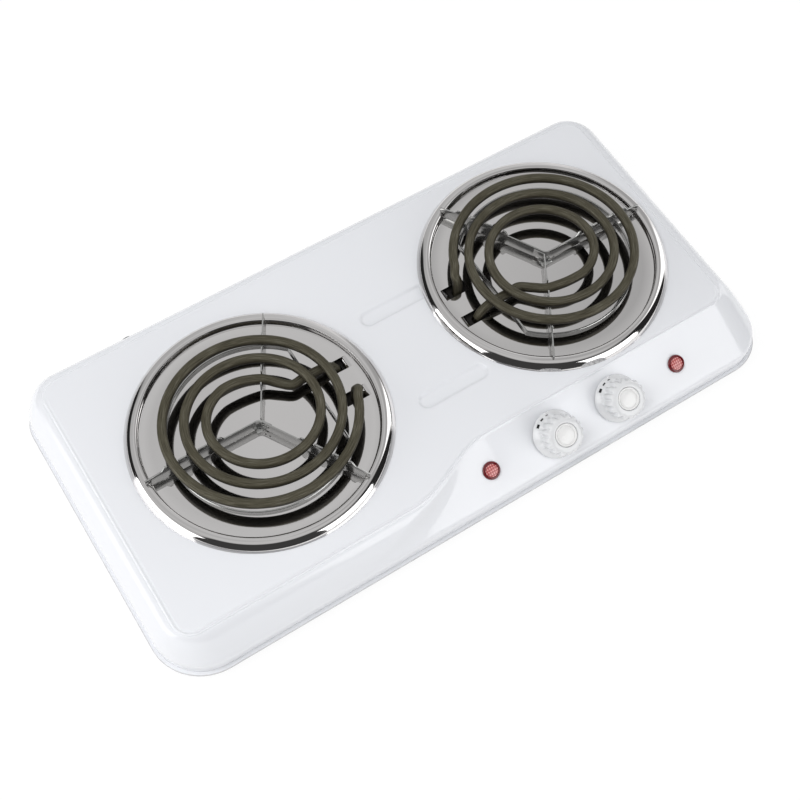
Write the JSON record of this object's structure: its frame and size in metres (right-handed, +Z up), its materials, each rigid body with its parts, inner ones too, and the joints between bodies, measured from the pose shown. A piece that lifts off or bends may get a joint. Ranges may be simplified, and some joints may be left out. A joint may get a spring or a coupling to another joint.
{
  "type": "hot plate burner",
  "caption": "Countertop electric hot plate with tubular heating coils over chrome drip bowls, a white enamel body and thermostat dials on a sloped front panel.",
  "frame": {"origin": "middle of the overall box, at the height of the table under the feet", "axes": "+X to the right as seen from the front, +Y to the back, +Z up; the control panel faces -Y"},
  "size_m": [0.4798, 0.2505, 0.0688],
  "materials": {
    "enamel": "gloss white enamel",
    "zinc": "zinc-plated sheet",
    "chrome": "polished chrome plate",
    "sheath": "oxidised alloy sheath, satin",
    "bright_strip": "bright stainless strip",
    "screw_steel": "plated steel",
    "ceramic": "unglazed steatite ceramic",
    "phenolic": "moulded phenolic",
    "knob_white": "moulded white plastic",
    "cap_white": "moulded warm white plastic",
    "lens_red": "clear red moulded lens",
    "lamp_amber": "lamp holder",
    "rubber": "matt black",
    "live_insulation": "brown heat-proof sleeve",
    "neutral_insulation": "blue heat-proof sleeve",
    "lamp_insulation": "grey heat-proof sleeve"
  },
  "bodies": {
    "body": {"top_housing": "enamel", "base_plate": "zinc", "foot_front_left": "rubber", "foot_screw_front_left": "screw_steel", "foot_front_right": "rubber", "foot_screw_front_right": "screw_steel", "foot_back_right": "rubber", "foot_screw_back_right": "screw_steel", "foot_back_left": "rubber", "foot_screw_back_left": "screw_steel", "left_drip_bowl": "chrome", "left_coil_element": "sheath", "left_support_leg_1": "bright_strip", "left_support_leg_2": "bright_strip", "left_support_leg_3": "bright_strip", "left_support_ring": "bright_strip", "left_hub_plate": "bright_strip", "left_hub_screw": "screw_steel", "left_mounting_bracket": "zinc", "left_terminal_block": "ceramic", "left_pilot_lens": "lens_red", "left_pilot_lamp": "lamp_amber", "left_thermostat": "phenolic", "left_bush_nut": "screw_steel", "right_drip_bowl": "chrome", "right_coil_element": "sheath", "right_support_leg_1": "bright_strip", "right_support_leg_2": "bright_strip", "right_support_leg_3": "bright_strip", "right_support_ring": "bright_strip", "right_hub_plate": "bright_strip", "right_hub_screw": "screw_steel", "right_mounting_bracket": "zinc", "right_terminal_block": "ceramic", "right_pilot_lens": "lens_red", "right_pilot_lamp": "lamp_amber", "right_thermostat": "phenolic", "right_bush_nut": "screw_steel", "cord_gland": "rubber", "mains_terminal_block": "ceramic", "earth_screw": "screw_steel", "live_lead_left": "live_insulation", "live_lead_right": "live_insulation", "switched_lead_left": "live_insulation", "switched_lead_right": "live_insulation", "neutral_lead_left": "neutral_insulation", "neutral_lead_right": "neutral_insulation", "pilot_lead_left": "lamp_insulation", "pilot_lead_right": "lamp_insulation"},
    "left_dial": {"left_knob": "knob_white", "left_knob_cap": "cap_white", "left_thermostat_shaft": "screw_steel"},
    "right_dial": {"right_knob": "knob_white", "right_knob_cap": "cap_white", "right_thermostat_shaft": "screw_steel"}
  },
  "joints": [
    {"name": "left_dial_turn", "type": "hinge", "parent": "body", "child": "left_dial", "pos_m": [0.0586, -0.10213, 0.03669], "axis": [0, 0.5594, -0.8289], "range_deg": [0, 270]},
    {"name": "right_dial_turn", "type": "hinge", "parent": "body", "child": "right_dial", "pos_m": [0.11045, -0.10213, 0.03669], "axis": [0, 0.5594, -0.8289], "range_deg": [0, 270]}
  ]
}
